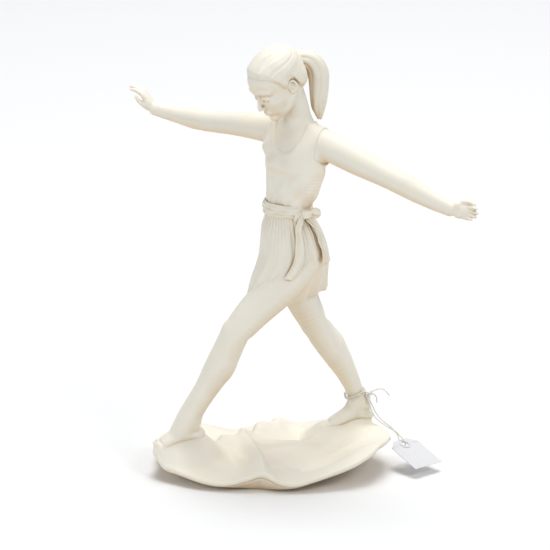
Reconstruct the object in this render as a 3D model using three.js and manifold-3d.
// A bisque porcelain figurine of a striding dancer on a wave-shaped base, with a card ticket tied to one ankle.
// Millimetres, +Z up. The dancer strides towards -X and is seen from -Y; the origin is on the table, under the middle.
// Each casting is its own mesh, with a gap of GAP where two castings are luted together.
import * as THREE from "three";
import { mergeVertices } from "three/addons/utils/BufferGeometryUtils.js";
import Module from "manifold-3d";

const wasm = await Module();
wasm.setup();

// ---- Driving dimensions ----
const GAP = 0.3;
const BASE = {
  centre: [-17, 4],
  halfLength: 65.5,
  halfDepth: 43,
  squareness: 2.4, // 2 is an ellipse, and more fills its corners
  footCentre: [-22, -3],
  footLength: 31, // half lengths of the foot ring's outer edge
  footDepth: 28,
  footWidth: 4.5,
  recessHeight: 6.5,
  rimThickness: 2.2,
};
const SKIRT = {
  waistZ: 151,
  hemZ: 95,
  wall: 1.6,
  strideTurn: THREE.MathUtils.degToRad(31), // the skirt's long axis, from +X
};
const SASH = { bottomZ: 151.5, topZ: 158.5, thickness: 1.9 };
const HEAD = {
  centre: new THREE.Vector3(-14.4, -6, 228.2),
  yaw: THREE.MathUtils.degToRad(58), // from the front, towards -X
  pitch: THREE.MathUtils.degToRad(33), // down
};
const TAG = {
  hole: new THREE.Vector3(58, 7, 12.6),
  width: 20,
  length: 25.5,
  holeInset: 4.5,
  clippedCorner: 5,
  thickness: 0.5,
  holeRadius: 1.9,
  eyeletRadius: 3.3,
  eyeletThickness: 0.5,
};
const THREAD_RADIUS = 0.45;
const CHEST_SIDE = sideAxis(32);
const PELVIS_SIDE = sideAxis(50);

// The figure's left, for a body turned by some degrees from the front towards -X.
function sideAxis(degrees) {
  const a = THREE.MathUtils.degToRad(degrees);
  return new THREE.Vector3(Math.cos(a), -Math.sin(a), 0);
}

// ---- Solids ----
function solidOf(geometry) {
  const bare = new THREE.BufferGeometry().setIndex(geometry.index);
  bare.setAttribute("position", geometry.getAttribute("position"));
  const merged = mergeVertices(bare, 1e-4);
  return new wasm.Manifold(
    new wasm.Mesh({
      numProp: 3,
      vertProperties: merged.attributes.position.array,
      triVerts: new Uint32Array(merged.index.array),
    }),
  );
}

function geometryOf(solid) {
  const mesh = solid.getMesh();
  const geometry = new THREE.BufferGeometry();
  geometry.setAttribute("position", new THREE.BufferAttribute(new Float32Array(mesh.vertProperties), 3));
  geometry.setIndex(new THREE.BufferAttribute(new Uint32Array(mesh.triVerts), 1));
  geometry.computeVertexNormals();
  return geometry;
}

const joined = (...solids) => solids.reduce((a, b) => a.add(b));
const cut = (solid, ...tools) => tools.reduce((a, b) => a.subtract(b), solid);

// A closed surface from rings of points, all of one length, with a point at each end.
function ringSurface(rings, first, last) {
  const points = [first, ...rings.flat(), last];
  const count = rings[0].length;
  const end = points.length - 1;
  const index = [];
  for (let j = 0; j < count; j++) {
    const next = (j + 1) % count;
    index.push(0, 1 + next, 1 + j);
    for (let i = 0; i + 1 < rings.length; i++) {
      const low = 1 + i * count;
      const high = low + count;
      index.push(low + j, low + next, high + next, low + j, high + next, high + j);
    }
    index.push(end, end - count + j, end - count + next);
  }
  return new THREE.BufferGeometry().setFromPoints(points).setIndex(index);
}

// A limb or body through sections [x, y, z, halfWidth, halfDepth]. across is the direction of the half widths,
// or a pair that it turns between. dome rounds the two ends, as a share of a half sphere.
function loft(sections, { across, sides = 14, steps = 14, grow = 0, dome = [0, 0] }) {
  const line = new THREE.CatmullRomCurve3(sections.map(([x, y, z]) => new THREE.Vector3(x, y, z)));
  const size = new THREE.CatmullRomCurve3(sections.map(([, , , w, d]) => new THREE.Vector3(w, d, 0)));
  const [from, to] = Array.isArray(across) ? across : [across, across];
  const ringAt = (t, shrink, push) => {
    const centre = line.getPoint(t);
    const { x: w, y: d } = size.getPoint(t);
    const along = line.getTangent(t);
    const side = from.clone().lerp(to, t);
    side.addScaledVector(along, -side.dot(along)).normalize();
    const front = along.clone().cross(side);
    centre.addScaledVector(along, push * (Math.min(w, d) + grow));
    const ring = Array.from({ length: sides }, (_, j) => {
      const a = (2 * Math.PI * j) / sides;
      return centre
        .clone()
        .addScaledVector(side, (w + grow) * shrink * Math.cos(a))
        .addScaledVector(front, (d + grow) * shrink * Math.sin(a));
    });
    return { ring, centre };
  };
  const rings = [];
  const turns = [Math.PI / 3, Math.PI / 6];
  if (dome[0]) turns.forEach((a) => rings.push(ringAt(0, Math.cos(a), -dome[0] * Math.sin(a)).ring));
  for (let i = 0; i <= steps; i++) rings.push(ringAt(i / steps, 1, 0).ring);
  if (dome[1]) [...turns].reverse().forEach((a) => rings.push(ringAt(1, Math.cos(a), dome[1] * Math.sin(a)).ring));
  return solidOf(ringSurface(rings, ringAt(0, 1, -dome[0]).centre, ringAt(1, 1, dome[1]).centre));
}

const smooth = (low, high, x) => THREE.MathUtils.smoothstep(x, low, high);
const mix = THREE.MathUtils.lerp;

// Reads a smooth value off [place, value] pairs.
function along(pairs, x) {
  const last = pairs.length - 1;
  const i = Math.min(last - 1, Math.max(0, pairs.findIndex(([place]) => place > x) - 1));
  const k = pairs[last][0] <= x ? last - 1 : i;
  const [[x0, y0], [x1, y1]] = [pairs[k], pairs[k + 1]];
  return mix(y0, y1, smooth(x0, x1, x));
}

// ---- Base: a shallow dish of breaking water, cast hollow and open underneath ----
const frontSole = { heel: [-55.5, -5.4], toe: [-77, -9.5], z: 20.3, reach: 9 };
const rearSole = { heel: [36.5, 33.5], toe: [12.5, 22.5], z: 18, reach: 9 };

function toSegment(x, y, { heel, toe }) {
  const [dx, dy] = [toe[0] - heel[0], toe[1] - heel[1]];
  const t = THREE.MathUtils.clamp(((x - heel[0]) * dx + (y - heel[1]) * dy) / (dx * dx + dy * dy), 0, 1);
  return Math.hypot(x - heel[0] - t * dx, y - heel[1] - t * dy);
}

function outline(angle) {
  const p = BASE.squareness;
  const reach = (Math.abs(Math.cos(angle)) ** p + Math.abs(Math.sin(angle)) ** p) ** (-1 / p);
  const lobes = reach * (1 + 0.012 * Math.cos(5 * angle + 0.6) + 0.012 * Math.cos(9 * angle));
  return [BASE.halfLength * lobes * Math.cos(angle), BASE.halfDepth * lobes * Math.sin(angle)];
}

function rimHeight(angle) {
  const turn = THREE.MathUtils.euclideanModulo(THREE.MathUtils.radToDeg(angle), 360);
  const heights = [
    [0, 17.5], [45, 18.5], [75, 13], [110, 10], [140, 15], [180, 14], [215, 12], [246, 8.5],
    [265, 10], [282, 6.6], [314, 16], [334, 18.5], [360, 17.5],
  ];
  return along(heights, turn);
}

function topHeight(x, y, share, angle) {
  const swell = 14.5 + 2.2 * Math.sin(x / 9 + y / 14) + 1.6 * Math.cos(y / 8 - x / 21);
  let z = mix(swell, rimHeight(angle), smooth(0.35, 1, share));
  for (const sole of [frontSole, rearSole]) z = mix(sole.z, z, smooth(0.75, 1.9, toSegment(x, y, sole) / sole.reach));
  return z;
}

function base(grow = 0) {
  const count = 36;
  const [cx, cy] = BASE.centre;
  const [fx, fy] = BASE.footCentre;
  const angles = Array.from({ length: count }, (_, j) => (2 * Math.PI * j) / count);
  const footEdge = (a, inset) => [
    fx + (BASE.footLength - inset) * Math.cos(a),
    fy + (BASE.footDepth - inset) * Math.sin(a),
  ];
  const rim = (a, share) => {
    const [ox, oy] = outline(a);
    const spread = share * (1 + grow / BASE.halfDepth);
    return [cx + ox * spread, cy + oy * spread];
  };
  const top = (share) =>
    angles.map((a) => {
      const [x, y] = rim(a, share);
      return new THREE.Vector3(x, y, topHeight(x, y, share, a) + grow);
    });
  // The flared side, from the foot ring at rise 0 out to the rim at rise 1.
  const side = (rise) =>
    angles.map((a) => {
      const [[x0, y0], [x1, y1]] = [footEdge(a, 0), rim(a, 0.985)];
      const [x, y] = [mix(x0, x1, rise), mix(y0, y1, rise)];
      const edge = topHeight(x1, y1, 1, a) - BASE.rimThickness;
      return new THREE.Vector3(x, y, edge * (0.55 * rise + 0.45 * rise * rise) - grow);
    });
  const recess = (share, lift) =>
    angles.map((a) => {
      const [x, y] = footEdge(a, BASE.footWidth);
      const [px, py] = [mix(fx, x, share), mix(fy, y, share)];
      return new THREE.Vector3(px, py, lift === 0 ? 0 : BASE.recessHeight * lift);
    });
  // From the middle of the recess outwards, down to the foot ring, out to the rim and back over the top.
  const rings = [
    recess(0.35, 1),
    recess(0.7, 1),
    recess(0.92, 0.94),
    recess(1, 0),
    side(0),
    ...[0.25, 0.5, 0.75, 1].map(side),
    ...[1, 0.95, 0.88, 0.8, 0.7, 0.6, 0.5, 0.4, 0.3, 0.2, 0.1].map(top),
  ];
  const middle = topHeight(cx, cy, 0, 0);
  const first = new THREE.Vector3(fx, fy, BASE.recessHeight);
  const last = new THREE.Vector3(cx, cy, middle + grow);
  return solidOf(ringSurface(rings, first, last));
}

// ---- Torso with neck ----
const TORSO = [
  [-3.5, 1, 121, 12.5, 10],
  [-3, 1, 129, 17, 12.4],
  [-5, 0, 140, 15.6, 12],
  [-7.8, -1, 155, 12.3, 9.6],
  [-6, -2, 168, 15.8, 11.2],
  [-4.4, -2.4, 181, 17.8, 12.2],
  [-3.8, -1, 190, 17.6, 10.4],
  [-3, 0.4, 196, 14.5, 8],
  [-2.8, 0.8, 200, 9, 6.8],
  [-3, 0.1, 206, 6.6, 6.3],
  [-4.6, -1.4, 214, 6.3, 6.3],
  [-6.8, -3, 221, 6.4, 6.4],
];
const torso = (grow = 0) =>
  loft(TORSO, { across: [PELVIS_SIDE, CHEST_SIDE], sides: 16, steps: 19, grow, dome: [0.5, 0.4] });

// ---- Legs ----
const FRONT_LEG = [
  [0.6, -5.2, 127, 10.8, 10.8],
  [-11, -8.4, 112, 11, 10.8],
  [-26, -11.6, 98, 9.6, 9.6],
  [-37.4, -13.8, 85, 8.1, 8.3],
  [-43.2, -13.5, 73, 7.7, 8.5],
  [-48.6, -12, 61, 7.4, 8.2],
  [-55.2, -10.2, 47, 5.9, 6.6],
  [-60, -9, 36, 5.3, 6.1],
  [-62, -8.4, 27.5, 5.1, 6.4],
];
const REAR_LEG = [
  [-6.6, 6.2, 127, 10.8, 10.8],
  [-4.2, 10.6, 111, 11, 10.8],
  [2, 15, 95, 9.8, 9.6],
  [8.9, 19.6, 79.3, 8, 8.2],
  [14.8, 23, 68, 7.6, 8.3],
  [20.8, 26.2, 56, 6.9, 7.5],
  [27.6, 29.8, 42, 5.2, 5.8],
  [31, 32, 32, 4.8, 5.2],
  [32.6, 33, 25, 5.2, 6],
];

// A foot from heel to toes, its sole sunk a little below the surface that it stands on.
function foot({ heel, toe, z }, ankleHeight) {
  const at = (t) => [mix(heel[0], toe[0], t), mix(heel[1], toe[1], t)];
  const sections = [
    [...at(0.02), z + 3.6, 4, 4.2],
    [...at(0.2), z + 4.4, 4.8, 5.2],
    [...at(0.45), z + ankleHeight * 0.42, 5, 4.8],
    [...at(0.72), z + 2.6, 5.8, 3.6],
    [...at(0.97), z + 1.6, 5, 2.4],
  ];
  const width = new THREE.Vector3(toe[1] - heel[1], heel[0] - toe[0], 0).normalize();
  return loft(sections, { across: width, sides: 10, steps: 7, dome: [0.8, 0.8] });
}

// ---- Arms and hands ----
const RIGHT_ARM = [
  [-11, 6.5, 194, 7.6, 7],
  [-19.5, 11.8, 196.4, 7.4, 7.2],
  [-35, 20.8, 196.4, 6.5, 6.5],
  [-52.7, 31, 195, 5.5, 5.5],
  [-64, 37, 195.6, 5.1, 4.9],
  [-75, 42.7, 196.5, 3.8, 3.5],
  [-82, 45.8, 197, 3, 2.6],
];
const LEFT_ARM = [
  [7, -5.5, 192.4, 7.8, 7.2],
  [15, -11, 192.8, 8, 7.8],
  [30, -18, 186.8, 7.4, 7.3],
  [49, -26.5, 179.8, 6.4, 6.3],
  [60, -31, 174.8, 5.9, 5.6],
  [72, -36, 169.2, 4.3, 3.9],
  [80.5, -39.5, 166.1, 3.2, 2.8],
];
const RIGHT_HAND = {
  across: new THREE.Vector3(0.35, 0.85, -0.4),
  palm: [
    [-82.6, 45.6, 197.3, 2.9, 2.3],
    [-86, 46.6, 200, 4, 2.1],
    [-90, 47.6, 203.8, 4.3, 1.9],
    [-94.3, 48.8, 207, 3.9, 1.4],
    [-98.2, 49.8, 208.8, 2.8, 0.9],
  ],
  thumb: [
    [-85.5, 46, 198.8, 1.7, 1.6],
    [-89.5, 45, 200.2, 1.4, 1.3],
    [-93.6, 44.6, 203.4, 1, 0.9],
  ],
};
const LEFT_HAND = {
  across: new THREE.Vector3(0.2, 0.17, 0.92),
  palm: [
    [81.2, -39.8, 165.8, 2.9, 2.3],
    [85.2, -42.1, 165.4, 4, 2.1],
    [89.6, -44.8, 165, 4.2, 1.8],
    [94, -48.2, 164.4, 3.7, 1.4],
    [97, -51, 164, 2.6, 0.9],
  ],
  thumb: [
    [83.6, -40.8, 168.6, 1.7, 1.6],
    [88.4, -43, 171.4, 1.5, 1.4],
    [94.6, -46.6, 170.6, 1, 0.9],
  ],
};
const arm = (sections, grow = 0) =>
  loft(sections, { across: new THREE.Vector3(0, 0, 1), sides: 12, steps: 12, grow, dome: [0.5, 0] });
const hand = ({ across, palm, thumb }) =>
  joined(
    loft(palm, { across, sides: 10, steps: 6, dome: [0, 0.9] }),
    loft(thumb, { across, sides: 6, steps: 4, dome: [0.6, 0.9] }),
  );

// ---- Head, hair and ponytail, in the head's own frame: +X its left, -Y its face, +Z its crown ----
const face = new THREE.Vector3(
  -Math.sin(HEAD.yaw) * Math.cos(HEAD.pitch),
  -Math.cos(HEAD.yaw) * Math.cos(HEAD.pitch),
  -Math.sin(HEAD.pitch),
);
const crown = new THREE.Vector3(0, 0, 1).addScaledVector(face, -face.z).normalize();
const headFrame = new THREE.Matrix4()
  .makeBasis(crown.clone().cross(face), face.clone().negate(), crown)
  .setPosition(HEAD.centre);
const intoHead = headFrame.clone().invert();

const SKULL = [
  [0, -9.2, -17, 4.3, 3.6],
  [0, -6.6, -13.9, 7.4, 7.5],
  [0, -3.6, -9.1, 9.6, 11.1],
  [0, -1, -2.1, 11.3, 13.7],
  [0, 0, 4.3, 12, 14.8],
  [0, 0.5, 10.7, 10.9, 13.3],
  [0, 1, 15, 8.1, 10],
  [0, 1.2, 17.3, 3.9, 4.9],
];
const HAIR = [
  [0, 1.7, -11.8, 8.8, 10.3],
  [0, 1.3, -7.5, 11.1, 13.5],
  [0, 1, -1.1, 13, 15.8],
  [0, 1, 5.4, 13.6, 16.6],
  [0, 1.4, 11.8, 12.4, 15],
  [0, 1.7, 16.2, 9, 11.1],
  [0, 1.8, 18.4, 4.3, 5.3],
];
const PONYTAIL = [
  [-5.6, 0.4, 238.4, 3.4, 3.4],
  [-1.8, 1.4, 239.4, 4, 4],
  [2.4, 2.4, 239.4, 4.9, 4.9],
  [6.6, 3.4, 236.8, 5.5, 5.3],
  [9.1, 4.1, 231.6, 5.6, 5.3],
  [9.7, 4.4, 225, 5.3, 5],
  [9.3, 4.4, 217, 4.6, 4.3],
  [9, 4.3, 210.4, 3.3, 3.1],
  [9.6, 4.2, 205.6, 1, 1],
];
const X_AXIS = new THREE.Vector3(1, 0, 0);
const skull = (grow = 0) => loft(SKULL, { across: X_AXIS, sides: 16, steps: 11, grow, dome: [0.6, 0.5] });
const hairCap = (grow = 0) => loft(HAIR, { across: X_AXIS, sides: 16, steps: 9, grow, dome: [0.4, 0.5] });

function nose() {
  const bridge = [[0, -12.4, 1, 1, 1.4], [0, -13.8, -3, 1.4, 2], [0, -13.6, -5.6, 1.9, 1.8]];
  return loft(bridge, { across: X_AXIS, sides: 8, steps: 4, dome: [0.5, 0.6] });
}

// The space in front of the hairline, which runs from the forehead back to the nape.
function faceSpace() {
  const block = new THREE.BoxGeometry(60, 60, 60);
  const hairline = new THREE.Matrix4().makeRotationX(THREE.MathUtils.degToRad(-43)).setPosition(0, -22.2, -25.3);
  return solidOf(block.toNonIndexed().applyMatrix4(hairline));
}

const tail = (grow = 0) =>
  loft(PONYTAIL, { across: new THREE.Vector3(0.8, -0.5, 0), sides: 10, steps: 11, grow, dome: [0, 0.9] });

function hairRibbon(grow = 0) {
  const ring = new THREE.TorusGeometry(4.3, 1.1 + grow, 6, 16);
  const way = new THREE.Vector3(0.93, 0.27, 0.25).normalize();
  const turn = new THREE.Quaternion().setFromUnitVectors(new THREE.Vector3(0, 0, 1), way);
  const place = new THREE.Vector3(-2.2, 1.2, 239.3);
  return solidOf(ring.applyMatrix4(new THREE.Matrix4().compose(place, turn, new THREE.Vector3(1, 1, 1))));
}

// ---- Skirt and sash ----
// Each is a list of [share of the drop, value].
const SKIRT_CENTRE_X = [[0, -7.7], [0.4, -4.8], [0.7, -8], [1, -11.5]];
const SKIRT_CENTRE_Y = [[0, -1.1], [0.4, 0.4], [1, 1.8]];
const SKIRT_LENGTHWAYS = [[0, 13], [0.2, 16.5], [0.42, 22], [0.7, 32], [1, 41]];
const SKIRT_SIDEWAYS = [[0, 15.4], [0.2, 18.6], [0.42, 21.6], [0.7, 23.5], [1, 26]];

// A point of the skirt's outer face: angle from the trailing side, t from waist to hem, inset inwards from the face.
function skirtPoint(angle, t, inset = 0) {
  const drop = THREE.MathUtils.clamp(t, 0, 1);
  const folds = 0.035 * drop * (Math.cos(8 * angle + 0.8) + 0.6 * Math.cos(5 * angle + 2));
  const trail = 0.1 * drop * drop * Math.max(0, Math.cos(angle)) ** 2;
  const scale = 1 + folds + trail;
  const u = (along(SKIRT_LENGTHWAYS, drop) * scale - inset) * Math.cos(angle);
  const v = (along(SKIRT_SIDEWAYS, drop) * scale - inset) * Math.sin(angle);
  const [c, s] = [Math.cos(SKIRT.strideTurn), Math.sin(SKIRT.strideTurn)];
  const lift = drop * drop * (2.5 * Math.cos(angle) + 1.2 * Math.cos(5 * angle + 2));
  return new THREE.Vector3(
    along(SKIRT_CENTRE_X, drop) + u * c - v * s,
    along(SKIRT_CENTRE_Y, drop) + u * s + v * c,
    mix(SKIRT.waistZ, SKIRT.hemZ, t) + lift,
  );
}

// The skirt's wall, open at waist and hem: down the outside, round the hem and up the inside.
function skirt(grow = 0) {
  const [count, steps] = [36, 6];
  const ring = (t, inset) =>
    Array.from({ length: count }, (_, j) => skirtPoint((2 * Math.PI * j) / count, t, inset));
  const rings = [];
  for (let i = 0; i <= steps; i++) rings.push(ring(i / steps, -grow));
  for (let i = steps; i >= 0; i--) rings.push(ring(i / steps, SKIRT.wall + grow));
  const index = [];
  rings.forEach((_, i) => {
    const [low, high] = [i * count, ((i + 1) % rings.length) * count];
    for (let j = 0; j < count; j++) {
      const next = (j + 1) % count;
      index.push(low + j, high + next, low + next, low + j, high + j, high + next);
    }
  });
  return solidOf(new THREE.BufferGeometry().setFromPoints(rings.flat()).setIndex(index));
}

function sashBand(grow = 0) {
  const middle = (SASH.topZ + SASH.bottomZ) / 2;
  const half = (SASH.topZ - SASH.bottomZ) / 2;
  const [from, to] = [-1, 1].map((end) => [-8, -1, middle + end * (half - 0.4), 12.2, 9.7]);
  const across = PELVIS_SIDE.clone().lerp(CHEST_SIDE, 0.35);
  return loft([from, [-8, -1, middle, 12, 9.5], to], {
    across,
    sides: 16,
    steps: 3,
    grow: SASH.thickness + grow,
    dome: [0.04, 0.04],
  });
}

const SASH_KNOT = [2.2, -12.6, 154.6];
const SASH_TAILS = [
  { name: "sash_tail_front", angle: -1.9, drift: -0.1, length: 0.62 },
  { name: "sash_tail_back", angle: -1.3, drift: 0.25, length: 0.5 },
];

// One end of the sash, hanging over the skirt from the knot.
function sashTail(angle, drift, length) {
  const knot = new THREE.Vector3(...SASH_KNOT);
  const points = [0.1, 0.4, 0.7, 1].map((share) => {
    const surface = skirtPoint(angle + drift * share, length * share, -1.6 - 1.4 * share);
    return [surface.x, surface.y, surface.z, 2.2 + 1.6 * share, 0.7];
  });
  return loft([[knot.x, knot.y, knot.z, 1.6, 0.9], ...points], {
    across: new THREE.Vector3(0.85, 0.52, 0),
    sides: 8,
    steps: 12,
    dome: [0, 0.3],
  });
}
const knotBall = (grow = 0) => {
  const ball = new THREE.SphereGeometry(1, 12, 8).scale(3.4 + grow, 2.8 + grow, 3.2 + grow);
  return solidOf(ball.translate(...SASH_KNOT));
};

// ---- Thread and ticket ----
const ANKLE_POINT = new THREE.Vector3(30.1, 31.4, 35);
const SHIN_LINE = new THREE.Vector3(-3, -2, 10).normalize();

// Two snug turns round the rear ankle, from the knot's side.
function ankleTurns() {
  const [radius, perTurn, pitch] = [6, 12, 1.4];
  const side = new THREE.Vector3(1, 0, 0).addScaledVector(SHIN_LINE, -SHIN_LINE.x).normalize();
  const front = SHIN_LINE.clone().cross(side);
  const points = [];
  for (let i = 0; i <= 2 * perTurn; i++) {
    const a = -0.3 - (2 * Math.PI * i) / perTurn;
    points.push(
      ANKLE_POINT.clone()
        .addScaledVector(side, radius * Math.cos(a))
        .addScaledVector(front, radius * Math.sin(a))
        .addScaledVector(SHIN_LINE, pitch * (1 - i / perTurn)),
    );
  }
  return points;
}

const THREAD_OUT = [
  [38, 27, 31],
  [39.6, 24.8, 26.4],
  [42, 22.4, 22.8],
  [46, 19, 20.6],
  [50.4, 15.4, 19],
  [53.6, 12.4, 17.8],
];
const THREAD_BACK = [
  [54, 14.4, 15.8],
  [50.4, 18.6, 18.9],
  [46, 22.2, 21.2],
  [42.4, 25.2, 24.4],
  [40.2, 27.2, 28.2],
  [38.4, 28.4, 31.6],
];
// Heights off the ticket's face, and distances back from its hole.
const THREAD_AT_HOLE = [[2.2, 3.6], [1.9, 0.7], [0.8, 0], [-0.8, 0], [-1.9, 0.7], [-2.1, 3.6]];
const vectors = (list) => list.map(([x, y, z]) => new THREE.Vector3(x, y, z));

function threadGeometry() {
  const through = THREAD_AT_HOLE.map(([up, back]) =>
    TAG.hole.clone().addScaledVector(tagUp, up).addScaledVector(tagAlong, -back),
  );
  const route = [...ankleTurns(), ...vectors(THREAD_OUT), ...through, ...vectors(THREAD_BACK)];
  const path = new THREE.CatmullRomCurve3(route);
  const section = new THREE.Shape().absarc(0, 0, THREAD_RADIUS, 0, 2 * Math.PI);
  return new THREE.ExtrudeGeometry(section, { steps: 78, extrudePath: path, curveSegments: 4 });
}

// The knot at the ankle, with the thread's two short ends.
const KNOT = [38.3, 29.2, 35.2];
const KNOT_ENDS = [
  [[40.5, 27.5, 37.6], [45.5, 25, 39.4], [49.6, 23.5, 36]],
  [[40.4, 31.2, 34.4], [42.2, 32.6, 32], [42.6, 33, 28.6]],
];

function stringKnot() {
  const ball = solidOf(new THREE.SphereGeometry(1.3, 8, 6).scale(1, 0.85, 1).translate(...KNOT));
  const ends = KNOT_ENDS.map((points) =>
    loft([KNOT, ...points].map((at) => [...at, THREAD_RADIUS, THREAD_RADIUS]), {
      across: new THREE.Vector3(0.5, 0.86, 0),
      sides: 6,
      steps: 9,
    }),
  );
  return joined(ball, ...ends);
}

// The ticket's frame: +X across it, -Y along it from the hole to its far edge, +Z off its face.
const tagAcross = new THREE.Vector3(0.75, 0.66, -0.015).normalize();
const tagAlong = new THREE.Vector3(0.62, -0.7, -0.35);
tagAlong.addScaledVector(tagAcross, -tagAlong.dot(tagAcross)).normalize();
const tagUp = tagAcross.clone().cross(tagAlong.clone().negate());

function cardShape() {
  const [half, clip, top] = [TAG.width / 2, TAG.clippedCorner, TAG.holeInset];
  const bottom = top - TAG.length;
  const shape = new THREE.Shape();
  shape.moveTo(-half, bottom).lineTo(half, bottom).lineTo(half, top - clip).lineTo(half - clip, top);
  shape.lineTo(-half + clip, top).lineTo(-half, top - clip).closePath();
  return shape;
}

function disc(radius, hole, thickness, z) {
  const shape = new THREE.Shape().absarc(0, 0, radius, 0, 2 * Math.PI);
  shape.holes.push(new THREE.Path().absarc(0, 0, hole, 0, 2 * Math.PI, true));
  return new THREE.ExtrudeGeometry(shape, { depth: thickness, bevelEnabled: false, curveSegments: 10 }).translate(0, 0, z);
}

function cardGeometry() {
  const shape = cardShape();
  shape.holes.push(new THREE.Path().absarc(0, 0, TAG.holeRadius, 0, 2 * Math.PI, true));
  const depth = TAG.thickness;
  return new THREE.ExtrudeGeometry(shape, { depth, bevelEnabled: false, curveSegments: 10 }).translate(0, 0, -depth / 2);
}

// ---- Assembly ----
const bisque = new THREE.MeshStandardMaterial({ color: 0xf1ecdd, roughness: 0.55, metalness: 0 });
const card = new THREE.MeshStandardMaterial({ color: 0xf2f2f4, roughness: 0.85, metalness: 0 });
const patch = new THREE.MeshStandardMaterial({ color: 0xe6e6ea, roughness: 0.8, metalness: 0 });
const thread = new THREE.MeshStandardMaterial({ color: 0xece8da, roughness: 0.9, metalness: 0 });

const figurine = new THREE.Group();
function add(group, name, shape, material) {
  const geometry = shape.isBufferGeometry ? shape : geometryOf(shape);
  const mesh = new THREE.Mesh(geometry, material);
  mesh.name = name;
  group.add(mesh);
  return mesh;
}

const grownBase = base(GAP);
const grownTorso = torso(GAP);
const legAcross = new THREE.Vector3(0.6, -0.8, 0);
const leg = (sections, grow = 0) =>
  loft(sections, { across: legAcross, sides: 12, steps: 12, grow, dome: [0.4, 0.5] });
const frontLeg = cut(joined(leg(FRONT_LEG), foot(frontSole, 11)), grownTorso, grownBase);
const rearLeg = cut(joined(leg(REAR_LEG), foot(rearSole, 11)), grownTorso, grownBase, leg(FRONT_LEG, GAP));

add(figurine, "base", base(), bisque);
add(figurine, "torso", torso(), bisque);
add(figurine, "front_leg", frontLeg, bisque);
add(figurine, "rear_leg", rearLeg, bisque);
add(figurine, "skirt", cut(skirt(), grownTorso), bisque);
add(figurine, "sash_band", cut(sashBand(), grownTorso), bisque);

const armSolids = { right: cut(arm(RIGHT_ARM), grownTorso), left: cut(arm(LEFT_ARM), grownTorso) };
add(figurine, "right_arm", armSolids.right, bisque);
add(figurine, "left_arm", armSolids.left, bisque);
add(figurine, "right_hand", cut(hand(RIGHT_HAND), arm(RIGHT_ARM, GAP)), bisque);
add(figurine, "left_hand", cut(hand(LEFT_HAND), arm(LEFT_ARM, GAP)), bisque);

const headGroup = new THREE.Group();
headGroup.applyMatrix4(headFrame);
figurine.add(headGroup);
const neckInHead = grownTorso.transform(intoHead.elements);
add(headGroup, "head", cut(joined(skull(), nose()), neckInHead), bisque);
add(headGroup, "hair", cut(hairCap(), skull(GAP), faceSpace(), neckInHead), bisque);

const grownHair = hairCap(GAP).transform(headFrame.elements);
add(figurine, "hair_ribbon", cut(hairRibbon(), grownHair), bisque);
add(figurine, "ponytail", cut(tail(), grownHair, hairRibbon(GAP)), bisque);

const band = sashBand();
const knot = cut(knotBall(), sashBand(GAP), grownTorso);
add(figurine, "sash_knot", knot, bisque);
SASH_TAILS.forEach(({ name, angle, drift, length }) => {
  add(figurine, name, cut(sashTail(angle, drift, length), sashBand(GAP), knotBall(GAP), skirt(GAP)), bisque);
});

const ticket = new THREE.Group();
ticket.applyMatrix4(new THREE.Matrix4().makeBasis(tagAcross, tagAlong.clone().negate(), tagUp).setPosition(TAG.hole));
figurine.add(ticket);
add(ticket, "tag_card", cardGeometry(), card);
const eyeletAt = TAG.thickness / 2 + 0.05;
add(ticket, "tag_eyelet", disc(TAG.eyeletRadius, TAG.holeRadius, TAG.eyeletThickness, eyeletAt), patch);
add(figurine, "tag_string", threadGeometry(), thread);
add(figurine, "string_knot", stringKnot(), thread);

export default figurine;
